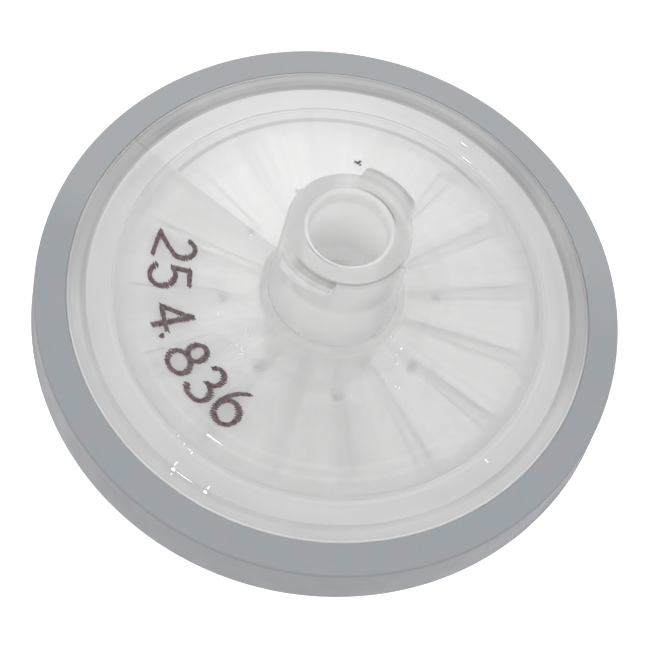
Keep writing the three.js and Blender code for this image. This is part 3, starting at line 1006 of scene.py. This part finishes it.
# ---------------------------------------------------------------- outlet half


def drain_profile(outlet, wetted, top, floor):
    """Concentric drain grooves under the disc, from the outermost in."""
    pitch = (wetted - outlet.sump_radius - outlet.drain_ridge) / outlet.drain_rings
    drain = []
    for index in range(outlet.drain_rings):
        far = wetted - index * pitch
        near = far - pitch + outlet.drain_ridge
        drain += [(far, top), (far, floor), *line((far, floor), (near, floor), 2)]
        drain += [(near, top), *line((near, top), (near - outlet.drain_ridge, top), 2)[:-1]]
    return drain


def outlet_profile(outlet, inlet):
    seam = OUTLET_HIGH.z - 2 * inlet.gap
    tip = OUTLET_LOW.z
    floor = DISC_LOW.z - outlet.drain_depth
    face = floor - outlet.wall
    boss = face - outlet.boss_height
    outer = OUTLET_HIGH.x - inlet.gap
    lip = OUTLET_HIGH.x - inlet.lip_overlap - inlet.gap
    lip_over = BAND_LOW.z + inlet.lip_sink + inlet.gap
    foot = lip - inlet.bevel_width
    seat = DISC_HIGH.x + outlet.seat_clearance
    top = DISC_LOW.z - inlet.gap
    root = outlet.tip_radius + inlet.taper * (boss - tip)
    chamfer = (outlet.tip_radius, tip + outlet.tip_chamfer)
    round_radius = outlet.boss_round
    wide = outlet.boss_radius + outlet.boss_fillet
    funnel = (outlet.bore_radius, DISC_LOW.z - outlet.sump_depth)
    edge = 0.05 * MM
    return [
        (outlet.bore_radius + edge, tip),
        (outlet.tip_radius - outlet.tip_chamfer, tip),
        chamfer,
        *line(chamfer, (root, boss + edge), 10),
        (root + edge, boss),
        *arc(outlet.boss_radius - round_radius, boss + round_radius, round_radius, -90, 0, 6),
        *arc(wide, face - outlet.boss_fillet, outlet.boss_fillet, 180, 90, 6),
        *line((wide, face), (foot, face), 16),
        *line((foot, face), (lip, face - inlet.bevel_rise), 3),
        (lip, lip_over),
        (outer, lip_over),
        (outer, seam),
        (seat, seam),
        (seat, top),
        *drain_profile(outlet, wetted_radius(inlet), top, floor),
        (outlet.sump_radius, top),
        funnel,
        *line(funnel, (outlet.bore_radius, tip + edge), 6),
    ]


def build_outlet(outlet, inlet, plastic):
    top = DISC_LOW.z - inlet.gap
    outermost = wetted_radius(inlet) - 0.001 * MM
    pitch = 2 * math.pi / outlet.channels
    half, edge = outlet.channel_width / 2, 0.06 * MM

    def shape(radius, height, angle):
        turn = angle - np.round(angle / pitch) * pitch
        channel = 1 - ramp(np.abs(radius * np.sin(turn)), half - edge, half + edge)
        ridge = np.abs(height - top) < SAME
        ridge = ridge & (radius < outermost) & (radius > outlet.sump_radius)
        return radius, np.where(ridge, height - outlet.drain_depth * channel, height)

    piece = turned("outlet_half", outlet_profile(outlet, inlet), even_angles(outlet.steps), shape)
    material = plate_material(plastic, "outlet_plastic", plastic.clearness, ())
    finish_piece(piece, [material], "housing", "outlet_housing")


# ---------------------------------------------------------------- band and disc


def build_band(band, inlet):
    low, high = BAND_LOW.z, BAND_HIGH.z
    shoulder = BAND_HIGH.x
    crown = shoulder - band.draft
    halves = INLET_HIGH.x
    lip = halves - inlet.lip_overlap
    edge = band.lip_round
    piece = turned("moulded_band", [
        *arc(lip + edge, low + edge, edge, 180, 270, 4),
        *line((lip + edge, low), (shoulder - band.foot_round, low), 3)[:-1],
        *arc(shoulder - band.foot_round, low + band.foot_round, band.foot_round, -90, 0, 10),
        *arc(crown - band.top_round, high - band.top_round, band.top_round, 0, 90, 8),
        *line((crown - band.top_round, high), (lip + edge, high), 3)[:-1],
        *arc(lip + edge, high - edge, edge, 90, 180, 4),
        (lip, high - inlet.lip_sink),
        (halves, high - inlet.lip_sink),
        (halves, low + inlet.lip_sink),
        (lip, low + inlet.lip_sink),
    ], even_angles(band.steps))
    finish_piece(piece, [band_material(band)], "band", "overmould_band")


def build_disc(disc, inlet):
    radius = DISC_HIGH.x
    low, high = DISC_LOW.z + inlet.gap, DISC_HIGH.z - inlet.gap
    middle = 0.02 * MM
    rim = radius - disc.round
    piece = turned("fibre_disc", [
        (middle, low),
        *line((middle, low), (rim, low), 20)[:-1],
        *arc(rim, low + disc.round, disc.round, -90, 0, 4),
        *arc(rim, high - disc.round, disc.round, 0, 90, 4),
        *line((rim, high), (middle, high), 20),
    ], even_angles(disc.steps))
    finish_piece(piece, [fibre_material(disc)], "disc", "filter_disc")


# ---------------------------------------------------------------- print


def bow(centre_x, centre_y, wide, tall, start, end):
    """Points of a bow from one direction to another, in degrees."""
    return [(centre_x + wide * math.cos(a), centre_y + tall * math.sin(a))
            for a in np.radians(np.linspace(start, end, 40))]


# The strokes of each figure, in shares of its height: rightwards and up from its foot.
FIGURES = {
    "2": [bow(0.31, 0.70, 0.27, 0.30, 165, -38) + [(0.03, 0.0)], [(0.03, 0.0), (0.62, 0.0)]],
    "3": [bow(0.29, 0.76, 0.24, 0.24, 150, -90), bow(0.29, 0.26, 0.30, 0.26, 90, -150)],
    "4": [[(0.46, 0.0), (0.46, 1.0)], [(0.46, 1.0), (0.02, 0.30)], [(0.02, 0.30), (0.66, 0.30)]],
    "5": [[(0.57, 1.0), (0.13, 1.0)], [(0.13, 1.0), (0.08, 0.55)],
          bow(0.30, 0.33, 0.30, 0.32, 130, -145)],
    "6": [bow(0.31, 0.31, 0.29, 0.31, 0, 360), bow(0.62, 0.36, 0.60, 0.66, 178, 105)],
    "8": [bow(0.31, 0.76, 0.23, 0.24, 0, 360), bow(0.31, 0.26, 0.30, 0.26, 0, 360)],
}


# The point: outwards and round, in millimetres. The speck: the same, and half its length.
POINT_DOTS = ((0, 0), (0.1, 0.05), (0.02, 0.12))
SPECK_DOTS = ((0, 0, 0.12), (0.13, -0.1, 0.1), (0.05, 0.15, 0.1), (-0.1, -0.16, 0.09))
SPECK_RADIUS, SPECK_TURN = 8.75 * MM, math.radians(31.5)
DOT_WIDTH = 0.8  # of its length
DASH_SLANT = math.radians(115)
WANDER = 0.012  # millimetres by which dots miss their place
UNEVEN = (0.85, 1.15)  # from the smallest to the largest of the dots, beside the usual
POINT_ADVANCE, SPACE_ADVANCE = 0.45, 0.35  # beside a figure's
DOT_SIDES, GLINT_SIDES = 8, 10
PRINT_SEED, GLINT_SEED = 7, 3
TOPS, TOP_STEP = 13, 0.0007 * MM  # the heights that the tops of the dots take turns at


def along_stroke(points, pitch):
    """Evenly spaced points along a stroke, each with the stroke's direction."""
    points = np.array(points)
    steps = np.hypot(*np.diff(points, axis=0).T)
    run = np.concatenate([[0], np.cumsum(steps)])
    places = np.linspace(0, run[-1], max(2, round(run[-1] / pitch)) + 1)

    def at(distance):
        return np.stack([np.interp(distance, run, points[:, axis]) for axis in (0, 1)], -1)

    direction = at(places + pitch / 4) - at(places - pitch / 4)
    direction /= np.maximum(np.hypot(*direction.T), 1e-12)[:, None]
    return [(Vector(point), Vector(ahead)) for point, ahead in zip(at(places), direction)]


def print_dots(ink, chance):
    """Every dot of ink as (radius, angle, half length, half width)."""
    tall = ink.foot - ink.top
    middle = (ink.foot + ink.top) / 2
    rows = ((-0.45, ink.dot, ink.dot * DOT_WIDTH), (0.45, ink.dot, ink.dot * DOT_WIDTH),
            (0, ink.stroke / 2, ink.dash))
    dots = []
    turn = ink.start
    for figure in ink.figures:
        if figure == ".":
            radius, start = ink.foot - 0.35 * MM, turn - ink.advance * 0.1
            dots += [(radius + dx * MM, start + dy * MM / ink.foot, ink.dot, ink.dot)
                     for dx, dy in POINT_DOTS]
            turn += ink.advance * POINT_ADVANCE
        for stroke in FIGURES.get(figure, []):
            placed = [(x * tall, y * tall) for x, y in stroke]
            for point, direction in along_stroke(placed, ink.pitch):
                side = Vector((-direction.y, direction.x))
                for row, long_side, short_side in rows:
                    wander = Vector((chance.gauss(0, WANDER), chance.gauss(0, WANDER))) * MM
                    at = point + side * row * ink.dot + wander
                    dots.append((ink.foot - at.y, turn + at.x / middle,
                                 long_side * chance.uniform(*UNEVEN),
                                 short_side * chance.uniform(*UNEVEN)))
        if figure in FIGURES:
            turn += ink.advance
        elif figure == " ":
            turn += ink.advance * SPACE_ADVANCE
    return dots


def oval(wide, tall, slant, sides):
    """Points round an oval that is turned by a slant."""
    points = []
    for side in range(sides):
        a = 2 * math.pi * side / sides
        x, y = wide * math.cos(a), tall * math.sin(a)
        points.append((x * math.cos(slant) - y * math.sin(slant),
                       x * math.sin(slant) + y * math.cos(slant)))
    return points


def add_solid(points, faces, rings):
    """Adds a small closed solid, given as equal rings of points from its foot to its top."""
    first, sides = len(points), len(rings[0])
    top = first + (len(rings) - 1) * sides
    points += [point for ring_points in rings for point in ring_points]
    faces.append([first + side for side in reversed(range(sides))])
    for row in range(first, top, sides):
        for side in range(sides):
            after = (side + 1) % sides
            faces.append([row + side, row + after, row + after + sides, row + side + sides])
    faces.append([top + side for side in range(sides)])


def build_print(ink, inlet):
    """A line of plain figures in dots of ink, and one stray speck."""
    face, _ = inlet_heights(inlet)
    dots = print_dots(ink, random.Random(PRINT_SEED))
    dots += [(SPECK_RADIUS + dx * MM, SPECK_TURN + dy * MM / SPECK_RADIUS, size * MM,
              size * DOT_WIDTH * MM) for dx, dy, size in SPECK_DOTS]
    points, faces = [], []
    low = face + 0.002 * MM
    for index, (radius, turn, long_side, short_side) in enumerate(dots):
        high = face + ink.thickness - index % TOPS * TOP_STEP  # so that no tops coincide
        x, y = radius * math.cos(turn), radius * math.sin(turn)
        rings = []
        for z, shrink in ((low, 1.0), (high, 0.8)):
            around = oval(long_side * shrink, short_side * shrink, turn + DASH_SLANT, DOT_SIDES)
            rings.append([(x + dx, y + dy, z) for dx, dy in around])
        add_solid(points, faces, rings)
    piece = mesh_object("printed_figures", points, faces)
    finish_piece(piece, [ink_material(ink)], "housing")


# ---------------------------------------------------------------- nicks, bright as painted glints


# Bright metal slivers set where glints show: painted glints.
# Radius, direction in degrees, length round the axis, length outwards; lengths in millimetres.
GLINT_NICKS = (
    (11.25, -172.2, 1.2, 0.08),
    (11.25, -174.2, 0.45, 0.14),
    (12.58, -174.9, 0.12, 0.2),
    (12.5, -175.8, 0.3, 0.06),
    (12.44, -177.7, 0.1, 0.1),
    (12.31, 179.8, 0.1, 0.12),
    (13.55, -176.0, 0.12, 0.35),
    (13.95, -175.5, 0.3, 0.35),
    (14.2, -175.1, 0.12, 0.2),
    (13.88, -172.6, 1.4, 0.07),
    (13.7, -166.9, 0.12, 0.45),
    (14.0, -167.0, 0.3, 0.3),
    (12.4, 0.5, 0.9, 0.07),
    (13.2, 4.0, 0.7, 0.07),
    (12.9, -98.0, 0.12, 0.35),
    (5.15, -90.0, 0.2, 0.1),
    (4.3, -88.2, 0.1, 0.14),
    (5.7, 97.3, 0.12, 0.12),
    (2.52, -173.6, 0.16, 0.14),
)


# Fine scratches near the hub, bright as painted glints, in millimetres and degrees.
SCRATCHES = 16
SCRATCH_RADII = (5.2, 6.9)
SCRATCH_TURNS, SCRATCH_SPREAD = (160, 167, 172, -100), 5
SCRATCH_HALF, SCRATCH_THIN = (0.04, 0.2), 0.012
SCRATCH_SLANT = 0.9  # radians
# A glinting nick's rings: height over the skin in millimetres, and share of its size.
GLINT_RINGS = ((-0.02, 1.0), (0.004, 0.85), (0.008, 0.4))


def build_glint_nicks(inlet):
    """Small bright nicks and scratches in the skin of the inlet plate, as painted glints."""
    chance = random.Random(GLINT_SEED)
    face, _ = inlet_heights(inlet)
    bevel_foot = INLET_HIGH.x - inlet.lip_overlap - inlet.bevel_width
    marks = [(radius * MM, math.radians(turn), along * MM / 2, out * MM / 2, 0)
             for radius, turn, along, out in GLINT_NICKS]
    for _ in range(SCRATCHES):
        radius = chance.uniform(*SCRATCH_RADII) * MM
        turn = math.radians(chance.choice(SCRATCH_TURNS) + chance.gauss(0, SCRATCH_SPREAD))
        half = chance.uniform(*SCRATCH_HALF) * MM
        slant = chance.uniform(-SCRATCH_SLANT, SCRATCH_SLANT)
        marks.append((radius, turn, half, SCRATCH_THIN * MM, slant))
    points, faces = [], []
    for radius, turn, along, out, slant in marks:
        skin = face + inlet.bevel_rise * max(0, radius - bevel_foot) / inlet.bevel_width
        if radius < inlet.rim_radius:
            skin = INLET_HIGH.z - 0.01 * MM
        rings = []
        for rise, shrink in GLINT_RINGS:
            placed = [(radius + x, turn + y / radius)
                      for x, y in oval(out * shrink, along * shrink, slant, GLINT_SIDES)]
            rings.append([(reach * math.cos(at), reach * math.sin(at), skin + rise * MM)
                          for reach, at in placed])
        add_solid(points, faces, rings)
    # White metal, so that each sliver shows as a painted glint.
    material, w, surface = new_material("bright_nick")
    w.fill(surface, {"Base Color": (0.95, 0.95, 0.95, 1), "Metallic": 1, "Roughness": 0.25})
    finish_piece(mesh_object("skin_nicks", points, faces), [material], "housing")


# ---------------------------------------------------------------- stage


def heading(turn, rise):
    """One step from the middle, towards a turn round the axis and a rise over the table."""
    flat = math.cos(rise)
    return Vector((math.cos(turn) * flat, math.sin(turn) * flat, math.sin(rise)))


def build_camera(stage):
    near = heading(stage.eye_azimuth, 0)
    right = Vector((-near.y, near.x, 0))
    aim = near * stage.aim_near + right * stage.aim_right + Vector((0, 0, BAND_HIGH.z))
    back = near * math.cos(stage.eye_elevation) + Vector((0, 0, math.sin(stage.eye_elevation)))
    camera = bpy.data.objects.new("camera", bpy.data.cameras.new("camera"))
    bpy.context.scene.collection.objects.link(camera)
    camera.data.lens = stage.lens
    camera.data.sensor_width = 36
    camera.data.clip_start = 1 * MM
    turn = (-back).to_track_quat("-Z", "Y").to_matrix() @ Matrix.Rotation(stage.eye_roll, 3, "Z")
    camera.matrix_world = Matrix.Translation(aim + back * stage.eye_distance) @ turn.to_4x4()
    bpy.context.scene.camera = camera


def build_world(stage):
    """Even light from all round, white where it is looked at."""
    world = bpy.data.worlds.new("studio")
    bpy.context.scene.world = world
    world.use_nodes = True
    w = Wiring(world.node_tree)
    seen = w.node("ShaderNodeLightPath").outputs["Is Camera Ray"]
    w.fill(world.node_tree.nodes["Background"], {
        "Color": WHITE, "Strength": w.between(seen, stage.world_level, 1.0)
    })


def build_floor(stage):
    """A white table under the outlet's tip that keeps a soft shadow."""
    z, reach = OUTLET_LOW.z, stage.floor_reach
    corners = [(-reach, -reach, z), (reach, -reach, z), (reach, reach, z), (-reach, reach, z)]
    floor = mesh_object("floor", corners, [(0, 1, 2, 3)])
    material, w, surface = new_material("white_table")
    path = w.node("ShaderNodeLightPath").outputs
    seen = w.math("MAXIMUM", path["Is Camera Ray"], path["Is Glossy Ray"])
    seen = w.math("MAXIMUM", seen, path["Is Transmission Ray"])
    w.fill(surface, {
        "Base Color": (0.9, 0.9, 0.9, 1),
        "Roughness": 0.9,
        "Specular IOR Level": 0,
        "Emission Color": WHITE,
        "Emission Strength": w.times(seen, stage.floor_glow),
    })
    floor.data.materials.append(material)


def build_panel(stage):
    """A wide screen beyond the filter, with one soft lamp on it, that the plate mirrors."""
    far = -heading(stage.eye_azimuth, 0)
    across = Vector((far.y, -far.x, 0))
    rise = stage.panel_rise
    toward = far * math.cos(rise) + Vector((0, 0, math.sin(rise)))
    upward = -far * math.sin(rise) + Vector((0, 0, math.cos(rise)))
    half = stage.panel_half
    places = [(-half, -half), (half, -half), (half, half), (-half, half)]
    distance = stage.panel_distance
    corners = [toward * distance + (across * x + upward * y) * distance for x, y in places]
    panel = mesh_object("panel", [tuple(p) for p in corners], [(3, 2, 1, 0)])
    spread = panel.data.uv_layers.new(name="spread")
    for loop, place in zip(spread.data, reversed(places)):
        loop.uv = place
    material, w, surface = new_material("panel_light")
    x, y, _ = w.split(w.node("ShaderNodeUVMap", uv_map="spread").outputs["UV"])
    off_x = w.math("DIVIDE", w.minus(x, stage.lamp_across), stage.lamp_wide)
    off_y = w.math("DIVIDE", w.minus(y, stage.lamp_up), stage.lamp_tall)
    away = w.plus(w.times(off_x, off_x), w.times(off_y, off_y))
    lamp = w.times(w.math("POWER", math.e, w.times(away, -0.5)), stage.lamp_level)
    w.fill(surface, {
        "Base Color": BLACK,
        "Specular IOR Level": 0,
        "Emission Color": WHITE,
        "Emission Strength": w.plus(lamp, stage.world_level),
    })
    panel.data.materials.append(material)
    panel.visible_camera = False
    panel.visible_shadow = False


def build_spark(stage):
    """A small bright lamp that leaves sparkles on rounded edges."""
    light = bpy.data.lights.new("spark", "AREA")
    light.shape = "DISK"
    light.size = stage.spark_size
    light.energy = stage.spark_level * math.pi * math.pi * (stage.spark_size / 2) ** 2
    lamp = bpy.data.objects.new("spark", light)
    bpy.context.scene.collection.objects.link(lamp)
    back = heading(stage.spark_azimuth, stage.spark_elevation)
    facing = back.to_track_quat("Z", "Y").to_matrix().to_4x4()
    lamp.matrix_world = Matrix.Translation(back * stage.spark_distance) @ facing


# ---------------------------------------------------------------- operators and panel


def run(context, build, *names):
    """Builds a piece from the named groups of settings."""
    build(*[getattr(context.scene, "filter_" + name) for name in names])
    return {"FINISHED"}


class FILTER_OT_inlet(bpy.types.Operator):
    """Mould the inlet half: hub with lugs, plate, and the ribs under it"""

    bl_idname = "filter.inlet"
    bl_label = "Inlet half"

    def execute(self, context):
        return run(context, build_inlet, "inlet", "lugs", "plastic")


class FILTER_OT_outlet(bpy.types.Operator):
    """Mould the outlet half: drain, plate, boss and male luer"""

    bl_idname = "filter.outlet"
    bl_label = "Outlet half"

    def execute(self, context):
        return run(context, build_outlet, "outlet", "inlet", "plastic")


class FILTER_OT_disc(bpy.types.Operator):
    """Cut the glass-fibre disc"""

    bl_idname = "filter.disc"
    bl_label = "Fibre disc"

    def execute(self, context):
        return run(context, build_disc, "disc", "inlet")


class FILTER_OT_band(bpy.types.Operator):
    """Mould the grey band round both halves"""

    bl_idname = "filter.band"
    bl_label = "Band"

    def execute(self, context):
        return run(context, build_band, "band", "inlet")


class FILTER_OT_print(bpy.types.Operator):
    """Print the figures on the inlet plate"""

    bl_idname = "filter.figures"
    bl_label = "Printed figures"

    def execute(self, context):
        return run(context, build_print, "print", "inlet")


class FILTER_OT_glint_nicks(bpy.types.Operator):
    """Scatter small bright nicks over the inlet plate, as painted glints"""

    bl_idname = "filter.nicks"
    bl_label = "Nicks"

    def execute(self, context):
        return run(context, build_glint_nicks, "inlet")


class FILTER_OT_stage(bpy.types.Operator):
    """Set up the table, the light and the camera"""

    bl_idname = "filter.stage"
    bl_label = "Stage"

    def execute(self, context):
        context.scene.view_settings.view_transform = "Standard"
        for build in (build_camera, build_world, build_floor, build_panel, build_spark):
            run(context, build, "stage")
        return {"FINISHED"}


class FILTER_PT_maker(bpy.types.Panel):
    """Every piece of the filter and the sizes it is made to"""

    bl_idname = "FILTER_PT_maker"
    bl_label = "Syringe Filter"
    bl_space_type = "VIEW_3D"
    bl_region_type = "UI"
    bl_category = "Filter"

    def draw(self, context):
        for operator in OPERATORS:
            self.layout.operator(operator.bl_idname)
        for name, settings in SETTINGS.items():
            box = self.layout.box()
            box.label(text=name.capitalize())
            for key in settings.__annotations__:
                box.prop(getattr(context.scene, "filter_" + name), key)


SETTINGS = {
    "inlet": FILTER_PG_inlet,
    "lugs": FILTER_PG_lugs,
    "outlet": FILTER_PG_outlet,
    "band": FILTER_PG_band,
    "plastic": FILTER_PG_plastic,
    "disc": FILTER_PG_disc,
    "print": FILTER_PG_print,
    "stage": FILTER_PG_stage,
}
OPERATORS = (
    FILTER_OT_inlet, FILTER_OT_outlet, FILTER_OT_disc, FILTER_OT_band, FILTER_OT_print,
    FILTER_OT_glint_nicks, FILTER_OT_stage
)
CLASSES = (*SETTINGS.values(), *OPERATORS, FILTER_PT_maker)


def register():
    for cls in CLASSES:
        bpy.utils.register_class(cls)
    for name, settings in SETTINGS.items():
        setattr(bpy.types.Scene, "filter_" + name, PointerProperty(type=settings))


def unregister():
    for name in SETTINGS:
        delattr(bpy.types.Scene, "filter_" + name)
    for cls in reversed(CLASSES):
        bpy.utils.unregister_class(cls)


def main():
    register()
    bpy.ops.filter.inlet()
    bpy.ops.filter.outlet()
    bpy.ops.filter.disc()
    bpy.ops.filter.band()
    bpy.ops.filter.figures()
    bpy.ops.filter.nicks()
    bpy.ops.filter.stage()


if __name__ == "__main__":
    main()
